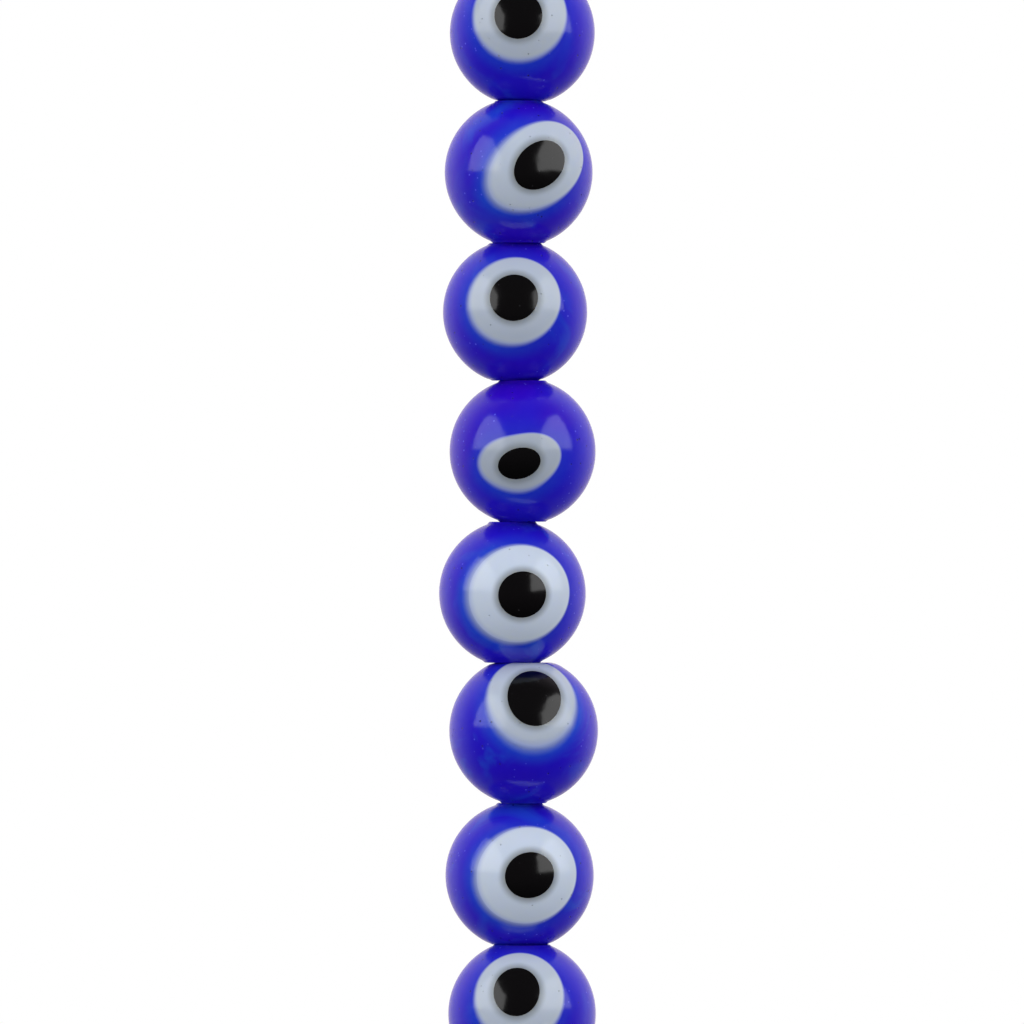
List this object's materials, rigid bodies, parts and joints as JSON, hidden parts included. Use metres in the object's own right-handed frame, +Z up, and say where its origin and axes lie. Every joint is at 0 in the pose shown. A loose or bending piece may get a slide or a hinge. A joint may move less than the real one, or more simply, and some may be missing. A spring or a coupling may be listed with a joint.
{
  "type": "evil eye bead strand",
  "caption": "Hanging strand of round cobalt-blue glass evil eye beads on a knotted cord with a small loop; beads spin on the cord and the strand flexes between them.",
  "frame": {"origin": "inside of the hanging loop's crown, where a hook carries the strand", "axes": "+Z up along the strand; the front eyes face -Y; +X to the right seen from the front"},
  "size_m": [0.0108, 0.0106, 0.1061],
  "materials": {
    "cobalt_glass": "fire-polished, glossy, translucent cobalt blue with small bubbles",
    "white_glass": "glossy opal white",
    "black_glass": "glossy opaque black",
    "cord": "twisted nylon, slight sheen"
  },
  "bodies": {
    "hanger": {"hanging_loop": "cord", "top_knot": "cord"},
    "link_1": {"cord_link_1": "cord"},
    "bead_1": {"bead_1_glass": "cobalt_glass", "bead_1_eye_whites": "white_glass", "bead_1_pupils": "black_glass"},
    "link_2": {"cord_link_2": "cord"},
    "bead_2": {"bead_2_glass": "cobalt_glass", "bead_2_eye_whites": "white_glass", "bead_2_pupils": "black_glass"},
    "link_3": {"cord_link_3": "cord"},
    "bead_3": {"bead_3_glass": "cobalt_glass", "bead_3_eye_whites": "white_glass", "bead_3_pupils": "black_glass"},
    "link_4": {"cord_link_4": "cord"},
    "bead_4": {"bead_4_glass": "cobalt_glass", "bead_4_eye_whites": "white_glass", "bead_4_pupils": "black_glass"},
    "link_5": {"cord_link_5": "cord"},
    "bead_5": {"bead_5_glass": "cobalt_glass", "bead_5_eye_whites": "white_glass", "bead_5_pupils": "black_glass"},
    "link_6": {"cord_link_6": "cord"},
    "bead_6": {"bead_6_glass": "cobalt_glass", "bead_6_eye_whites": "white_glass", "bead_6_pupils": "black_glass"},
    "link_7": {"cord_link_7": "cord"},
    "bead_7": {"bead_7_glass": "cobalt_glass", "bead_7_eye_whites": "white_glass", "bead_7_pupils": "black_glass"},
    "link_8": {"cord_link_8": "cord", "bottom_knot": "cord", "cord_tail": "cord"},
    "bead_8": {"bead_8_glass": "cobalt_glass", "bead_8_eye_whites": "white_glass", "bead_8_pupils": "black_glass"}
  },
  "joints": [
    {"name": "bead_1_tilt", "type": "hinge", "parent": "hanger", "child": "link_1", "pos_m": [0, 0, -0.02095], "axis": [0, 1, 0], "range_deg": [-20, 20]},
    {"name": "bead_1_spin", "type": "hinge", "parent": "link_1", "child": "bead_1", "pos_m": [0.00029, 0.0001, -0.02645], "axis": [0, 0, 1], "continuous": true},
    {"name": "bead_2_tilt", "type": "hinge", "parent": "link_1", "child": "link_2", "pos_m": [0, 0, -0.0311], "axis": [1, 0, 0], "range_deg": [-4, 4]},
    {"name": "bead_2_spin", "type": "hinge", "parent": "link_2", "child": "bead_2", "pos_m": [0.00004, -0.00025, -0.03594], "axis": [0, 0, 1], "continuous": true},
    {"name": "bead_3_tilt", "type": "hinge", "parent": "link_2", "child": "link_3", "pos_m": [0, 0, -0.04074], "axis": [0, 1, 0], "range_deg": [-4, 4]},
    {"name": "bead_3_spin", "type": "hinge", "parent": "link_3", "child": "bead_3", "pos_m": [-0.0002, 0.0002, -0.0454], "axis": [0, 0, 1], "continuous": true},
    {"name": "bead_4_tilt", "type": "hinge", "parent": "link_3", "child": "link_4", "pos_m": [0, 0, -0.05006], "axis": [1, 0, 0], "range_deg": [-4, 4]},
    {"name": "bead_4_spin", "type": "hinge", "parent": "link_4", "child": "bead_4", "pos_m": [0.00031, -0.0001, -0.05486], "axis": [0, 0, 1], "continuous": true},
    {"name": "bead_5_tilt", "type": "hinge", "parent": "link_4", "child": "link_5", "pos_m": [0, 0, -0.05964], "axis": [0, 1, 0], "range_deg": [-4, 4]},
    {"name": "bead_5_spin", "type": "hinge", "parent": "link_5", "child": "bead_5", "pos_m": [-0.00038, 0.00005, -0.0645], "axis": [0, 0, 1], "continuous": true},
    {"name": "bead_6_tilt", "type": "hinge", "parent": "link_5", "child": "link_6", "pos_m": [0, 0, -0.0692], "axis": [1, 0, 0], "range_deg": [-4, 4]},
    {"name": "bead_6_spin", "type": "hinge", "parent": "link_6", "child": "bead_6", "pos_m": [0.00038, -0.0001, -0.07381], "axis": [0, 0, 1], "continuous": true},
    {"name": "bead_7_tilt", "type": "hinge", "parent": "link_6", "child": "link_7", "pos_m": [0, 0, -0.07873], "axis": [0, 1, 0], "range_deg": [-4, 4]},
    {"name": "bead_7_spin", "type": "hinge", "parent": "link_7", "child": "bead_7", "pos_m": [0.00011, 0.0003, -0.08365], "axis": [0, 0, 1], "continuous": true},
    {"name": "bead_8_tilt", "type": "hinge", "parent": "link_7", "child": "link_8", "pos_m": [0, 0, -0.08833], "axis": [1, 0, 0], "range_deg": [-4, 4]},
    {"name": "bead_8_spin", "type": "hinge", "parent": "link_8", "child": "bead_8", "pos_m": [0.00027, -0.00015, -0.09302], "axis": [0, 0, 1], "continuous": true}
  ]
}
